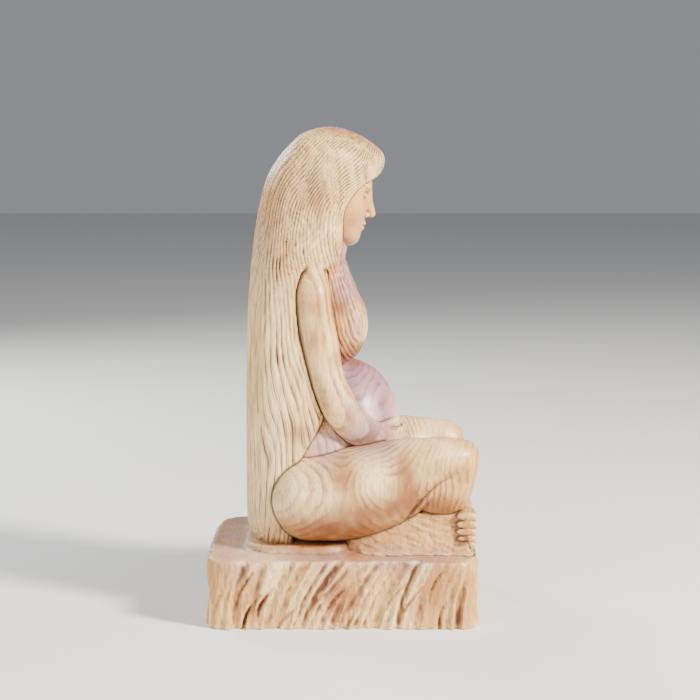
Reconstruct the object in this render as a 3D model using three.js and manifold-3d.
// Hand-carved wooden figure: an expectant mother with very long hair, seated
// cross-legged on a rough-hewn plinth. It is one block of pale wood. The carver's
// cut lines divide it into members, and each member is a solid of its own here.
//
// Millimetres, +Z up. The figure faces +X and its right side faces -Y. The origin is
// the centre of the bounding box's bottom.

import * as THREE from 'three';
import { mergeVertices } from 'three/addons/utils/BufferGeometryUtils.js';
import Module from 'manifold-3d';

const wasm = await Module();
wasm.setup();

// ---------------------------------------------------------------- driving sizes

const HEIGHT = 250;            // underside of the plinth to the crown of the hair
const LENGTH = 136;            // back of the plinth to the front of the knees
const PLINTH_WIDTH = 112;      // across the plinth, along Y
const PLINTH_HEIGHT = 36.5;
const PLINTH_FRONT_SET_BACK = 1.4;   // how far the knees stand past the plinth's front
const PLINTH_EDGE = 2;         // softened edges of the plinth
const PLINTH_CORNER = 16;      // plan radius of its corners

const GAP = 0.3;               // clearance between neighbouring members
const ROUND_STEPS = 14;        // facets round a limb
const CAP_STEPS = 2;           // rings in a limb's rounded end

const KNEE_Y = 41;             // middle of each knee from the mid plane
const KNEE_RADIUS = 14;
const KNEE_Z = 81;
const KNEE_X = LENGTH / 2 - KNEE_RADIUS;

const SHOULDER = { x: -13.5, y: 33, z: 173 };
const HEAD = { x: -6, z: 220, tilt: 12 };   // middle of the head; tilt is nose down, degrees
const CHEST_Z = 150;
const BELLY = { x: 2, z: 92, deep: 29.5, half: 31, tall: 40 };
const HAIR_BACK = -50.5;       // the straight back of the hair
const HAIR_HALF = 42;          // half width of the hair below the shoulders
const MOUND = { x: 15, length: 92, width: 90, corner: 16, top: 57 };

const MATERIALS = {
  pale: new THREE.MeshStandardMaterial({ color: 0xe3c79a, roughness: 0.5, metalness: 0 }),
  hair: new THREE.MeshStandardMaterial({ color: 0xe0cba4, roughness: 0.55, metalness: 0 }),
  warm: new THREE.MeshStandardMaterial({ color: 0xd9ab78, roughness: 0.5, metalness: 0 }),
  rose: new THREE.MeshStandardMaterial({ color: 0xd2b0a0, roughness: 0.55, metalness: 0 }),
  rough: new THREE.MeshStandardMaterial({ color: 0xcf9f78, roughness: 0.65, metalness: 0 }),
};

// ---------------------------------------------------------------- solids

function solidOf(geometry) {
  const bare = geometry.clone();
  bare.deleteAttribute('normal');
  bare.deleteAttribute('uv');
  const merged = mergeVertices(bare, 1e-4);
  return new wasm.Manifold(new wasm.Mesh({
    numProp: 3,
    vertProperties: merged.attributes.position.array,
    triVerts: new Uint32Array(merged.index.array),
  }));
}

function geometryOf(solid) {
  const mesh = solid.getMesh();
  const geometry = new THREE.BufferGeometry();
  geometry.setAttribute('position', new THREE.BufferAttribute(mesh.vertProperties, 3));
  geometry.setIndex(new THREE.BufferAttribute(mesh.triVerts, 1));
  geometry.computeVertexNormals();
  return geometry;
}

function joined(solids) {
  return solids.reduce((sum, solid) => sum.add(solid));
}

// A cut can leave loose crumbs: the member is the largest piece.
function largestPiece(solid) {
  return solid.decompose().reduce((best, piece) => (piece.volume() > best.volume() ? piece : best));
}

// Rings of points from one end to the other, closed by a point at each end.
function closedLoft(rings, startTip, endTip) {
  const around = rings[0].length;
  const points = [startTip, ...rings.flat(), endTip];
  const last = points.length - 1;
  const faces = [];
  for (let i = 0; i < around; i += 1) {
    const next = (i + 1) % around;
    faces.push(0, 1 + next, 1 + i);
    for (let ring = 0; ring + 1 < rings.length; ring += 1) {
      const a = 1 + ring * around;
      const b = a + around;
      faces.push(a + i, a + next, b + i, a + next, b + next, b + i);
    }
    const top = 1 + (rings.length - 1) * around;
    faces.push(top + i, top + next, last);
  }
  const geometry = new THREE.BufferGeometry();
  geometry.setFromPoints(points);
  geometry.setIndex(faces);
  return geometry;
}

// A rounded limb through stations [x, y, z, radius along side, radius across].
// "side" is square to the limb and to the reference direction.
function limb(stations, reference, grow = 0, steps = 9) {
  const path = new THREE.CatmullRomCurve3(stations.map(([x, y, z]) => new THREE.Vector3(x, y, z)));
  const radii = new THREE.CatmullRomCurve3(stations.map(([, , , a, b]) => new THREE.Vector3(a, b, 0)));
  const ringAt = (t, along, scale) => {
    const tangent = path.getTangent(t);
    const size = radii.getPoint(t);
    const side = new THREE.Vector3().crossVectors(reference, tangent).normalize();
    const across = new THREE.Vector3().crossVectors(tangent, side).normalize();
    const centre = path.getPoint(t).addScaledVector(tangent, along * (Math.min(size.x, size.y) + grow));
    const ring = [];
    for (let i = 0; i < ROUND_STEPS; i += 1) {
      const angle = (2 * Math.PI * i) / ROUND_STEPS;
      ring.push(centre.clone()
        .addScaledVector(side, Math.cos(angle) * scale * (size.x + grow))
        .addScaledVector(across, Math.sin(angle) * scale * (size.y + grow)));
    }
    return { ring, centre };
  };
  const rings = [];
  for (let i = CAP_STEPS; i > 0; i -= 1) {
    const angle = (Math.PI / 2) * (i / (CAP_STEPS + 0.5));
    rings.push(ringAt(0, -Math.sin(angle), Math.cos(angle)).ring);
  }
  for (let i = 0; i <= steps; i += 1) {
    rings.push(ringAt(i / steps, 0, 1).ring);
  }
  for (let i = 1; i <= CAP_STEPS; i += 1) {
    const angle = (Math.PI / 2) * (i / (CAP_STEPS + 0.5));
    rings.push(ringAt(1, Math.sin(angle), Math.cos(angle)).ring);
  }
  return solidOf(closedLoft(rings, ringAt(0, -1, 1).centre, ringAt(1, 1, 1).centre));
}

function ellipsoid([x, y, z], [rx, ry, rz], grow = 0, tilt = 0) {
  const geometry = new THREE.SphereGeometry(1, 18, 11);
  geometry.scale(rx + grow, ry + grow, rz + grow);
  geometry.rotateY(THREE.MathUtils.degToRad(tilt));
  geometry.translate(x, y, z);
  return solidOf(geometry);
}

function roundedBlock(length, width, corner, low, high, bevel) {
  const halfLength = length / 2 - bevel;
  const halfWidth = width / 2 - bevel;
  const radius = corner - bevel;
  const shape = new THREE.Shape();
  shape.absarc(halfLength - radius, halfWidth - radius, radius, 0, Math.PI / 2);
  shape.absarc(radius - halfLength, halfWidth - radius, radius, Math.PI / 2, Math.PI);
  shape.absarc(radius - halfLength, radius - halfWidth, radius, Math.PI, Math.PI * 1.5);
  shape.absarc(halfLength - radius, radius - halfWidth, radius, Math.PI * 1.5, Math.PI * 2);
  shape.closePath();
  const geometry = new THREE.ExtrudeGeometry(shape, {
    depth: high - low - 2 * bevel,
    bevelEnabled: true,
    bevelSize: bevel,
    bevelThickness: bevel,
    bevelSegments: 2,
    curveSegments: 5,
  });
  geometry.translate(0, 0, low + bevel);
  return geometry;
}

const ALONG_Y = new THREE.Vector3(0, 1, 0);
const ALONG_Z = new THREE.Vector3(0, 0, 1);

// The head leans: a point given as forward, sideways and up in the head's own frame.
function inHead(forward, sideways, up) {
  const lean = THREE.MathUtils.degToRad(HEAD.tilt);
  return [
    HEAD.x + forward * Math.cos(lean) + up * Math.sin(lean),
    sideways,
    HEAD.z - forward * Math.sin(lean) + up * Math.cos(lean),
  ];
}

// ---------------------------------------------------------------- members
// Each takes the side (-1 right, +1 left) where there are two, and an allowance that
// grows it all over, which its neighbours are cut back with.

function plinth() {
  const block = roundedBlock(LENGTH - PLINTH_FRONT_SET_BACK, PLINTH_WIDTH, PLINTH_CORNER,
    0, PLINTH_HEIGHT, PLINTH_EDGE);
  block.translate(-PLINTH_FRONT_SET_BACK / 2, 0, 0);
  return solidOf(block);
}

function arm(side, grow) {
  return limb([
    [SHOULDER.x, side * SHOULDER.y, SHOULDER.z, 8.6, 8.4],
    [-14, side * 36, 160, 9.3, 8.6],
    [-12, side * 37, 143, 9.7, 8.4],
    [-8.5, side * 38, 124, 8.8, 8],
    [-0.5, side * 37.5, 108, 8.8, 7.8],
    [9, side * 33.5, 98, 8, 7.2],
  ], ALONG_Y, grow, 9);
}

function hand(side, grow) {
  return limb([
    [18, side * 27, 92.5, 5.4, 7],
    [25, side * 18, 89.5, 4.2, 7.4],
    [30.5, side * 8, 88.5, 3.2, 6.2],
  ], ALONG_Z, grow, 6);
}

function head(grow) {
  return joined([
    ellipsoid(inHead(-3, 0, 3), [23, 20, 24], grow, HEAD.tilt),
    ellipsoid(inHead(5, 0, -9), [16.5, 16.5, 19.5], grow, HEAD.tilt),
    ellipsoid(inHead(14.5, 0, -22.5), [6.5, 7.5, 6], grow, HEAD.tilt),
    ellipsoid(inHead(22, 0, -7.5), [4.5, 3.4, 6.5], grow, HEAD.tilt - 18),
  ]);
}

function neck(grow) {
  return limb([[-11, 0, 172, 12, 12], [-8, 0, 184, 11, 11], [-5, 0, 196, 11, 11]], ALONG_Y, grow, 4);
}

function frontLock(side, grow) {
  return limb([
    [-7, side * 17, 188, 8, 7],
    [-3, side * 18, 173, 9.5, 11.5],
    [0, side * 19, 157, 11.8, 13.5],
    [0.8, side * 19, 145, 13, 13.5],
    [0, side * 19, 139, 10, 12],
  ], ALONG_Y, grow, 6);
}

function thigh(side, grow) {
  return limb([
    [-12, side * 31, 65, 22, 23],
    [2, side * 33.5, 67, 20.5, 23],
    [20, side * 36, 71.5, 18.5, 20],
    [40, side * 39, 77.5, 16, 16.8],
    [KNEE_X, side * KNEE_Y, KNEE_Z, KNEE_RADIUS, KNEE_RADIUS],
  ], ALONG_Z, grow, 6);
}

// The left shin passes in front of the right one.
function shin(side, grow) {
  const crossing = side > 0 ? 57.5 : 42;
  return limb([
    [47, side * 39, 68.5, 16.5, 11.5],
    [crossing - 4, side * 20, 62, 12.5, 9.5],
    [crossing, -side * 4, 53, 8, 8],
    [crossing + 1, -side * 12, 50.5, 7.2, 8.5],
  ], ALONG_Z, grow, 6);
}

// The foot lies on its outer edge under the other knee, toes out, big toe on top.
function foot(side, grow) {
  const front = side > 0 ? 61 : 55;
  const sole = limb([
    [front - 3, -side * 17, 50, 6.5, 8.5],
    [front - 1, -side * 27, 48.5, 5, 9.2],
    [front + 1, -side * 38.5, 47.7, 3.4, 9.3],
  ], ALONG_Z, grow, 6);
  const toes = [55, 51, 47.2, 43.6, 40.4].map((z, i) => limb([
    [front + 1.2, -side * 36, z, 3, 1.9],
    [front + 1.5, -side * (41.6 - 0.5 * i), z, 3, 1.9],
  ], ALONG_Z, grow, 1));
  return joined([sole, ...toes]);
}

function torso(grow) {
  return joined([
    neck(grow),
    limb([
      [-20, 0, 62, 30, 22],
      [-18, 0, 92, 31, 20],
      [-16, 0, 125, 28, 18],
      [-15, 0, CHEST_Z, 32, 18],
      [-14, 0, 168, 27, 13],
    ], new THREE.Vector3(1, 0, 0), grow, 6),
    ellipsoid([-15, 0, 168], [12, 36, 13], grow),
  ]);
}

function belly(grow) {
  return ellipsoid([BELLY.x, 0, BELLY.z], [BELLY.deep, BELLY.half, BELLY.tall], grow);
}

// Level sections of the hair: height, back, front, half width, squareness.
function hairMantle() {
  const sections = [
    [PLINTH_HEIGHT + 0.3, -48.5, -10, 39, 2.8],
    [45, -50, 0, 41, 2.8],
    [60, HAIR_BACK, 5, HAIR_HALF, 2.8],
    [105, HAIR_BACK, 5, HAIR_HALF, 2.8],
    [139, -49.5, 5, HAIR_HALF, 2.7],
    [165, -48.3, 4, HAIR_HALF - 1, 2.5],
    [178, -47, 5, 39, 2.3],
    [190, -45.6, 7, 32, 2.1],
    [202, -44.2, 12, 27.5, 2.1],
    [214, -41.5, 18, 25.5, 2.1],
    [225, -38.5, 20.5, 25, 2.1],
    [233, -33.5, 21.5, 23.5, 2.1],
    [239, -28.5, 18.6, 21, 2],
    [244, -22.5, 14, 17, 2],
    [247.5, -16.5, 9, 11.5, 2],
  ];
  const around = 32;
  const rings = sections.map(([z, back, front, half, square]) => {
    const ring = [];
    for (let i = 0; i < around; i += 1) {
      const angle = (2 * Math.PI * i) / around;
      const bend = (value) => Math.sign(value) * Math.abs(value) ** (2 / square);
      ring.push(new THREE.Vector3(
        (back + front) / 2 + bend(Math.cos(angle)) * (front - back) / 2,
        bend(Math.sin(angle)) * half,
        z,
      ));
    }
    return ring;
  });
  const foot = new THREE.Vector3(-30, 0, sections[0][0]);
  const crown = new THREE.Vector3(-3, 0, HEIGHT);
  return solidOf(closedLoft(rings, foot, crown));
}

// The open front of the hair: everything ahead of the line from the fringe down to
// the neck, and the space before the chest.
function faceOpening() {
  const outline = new THREE.Shape();
  outline.moveTo(60, 227);
  outline.lineTo(20, 226);
  outline.quadraticCurveTo(0.5, 219, 0.2, 204);
  outline.lineTo(-1, 186);
  outline.lineTo(-6, 181);
  outline.lineTo(-4, 30);
  outline.lineTo(60, 30);
  outline.closePath();
  const width = 2 * HAIR_HALF + 20;
  const geometry = new THREE.ExtrudeGeometry(outline, { depth: width, bevelEnabled: false });
  geometry.rotateX(Math.PI / 2);
  geometry.translate(0, width / 2, 0);
  return solidOf(geometry);
}

function seatMound() {
  const block = roundedBlock(MOUND.length, MOUND.width, MOUND.corner, PLINTH_HEIGHT + GAP, MOUND.top, 3);
  block.translate(MOUND.x, 0, 0);
  return solidOf(block);
}

// ---------------------------------------------------------------- assembly

const figure = new THREE.Group();
const kept = [];

// Adds a member, cut back from the members that were added before it.
function add(name, material, solid, allowance) {
  const cut = kept.reduce((rest, neighbour) => rest.subtract(neighbour), solid);
  const mesh = new THREE.Mesh(geometryOf(largestPiece(cut)), MATERIALS[material]);
  mesh.name = name;
  figure.add(mesh);
  if (allowance) {
    kept.push(allowance);
  }
}

function addPair(name, material, shape) {
  for (const [label, side] of [['left', 1], ['right', -1]]) {
    add(`${label}_${name}`, material, shape(side, 0), shape(side, GAP));
  }
}

add('plinth', 'rough', plinth(), null);
addPair('arm', 'pale', arm);
addPair('hand', 'pale', hand);
add('head', 'warm', head(0), head(GAP));
addPair('front_lock', 'hair', frontLock);
addPair('foot', 'pale', foot);
addPair('thigh', 'pale', thigh);
addPair('shin', 'pale', shin);
add('belly', 'rose', belly(0), belly(GAP));
add('torso', 'pale', torso(0), torso(GAP));
add('hair_mantle', 'hair', hairMantle().subtract(faceOpening()), hairMantle());
add('seat_mound', 'rough', seatMound(), null);

export default figure;
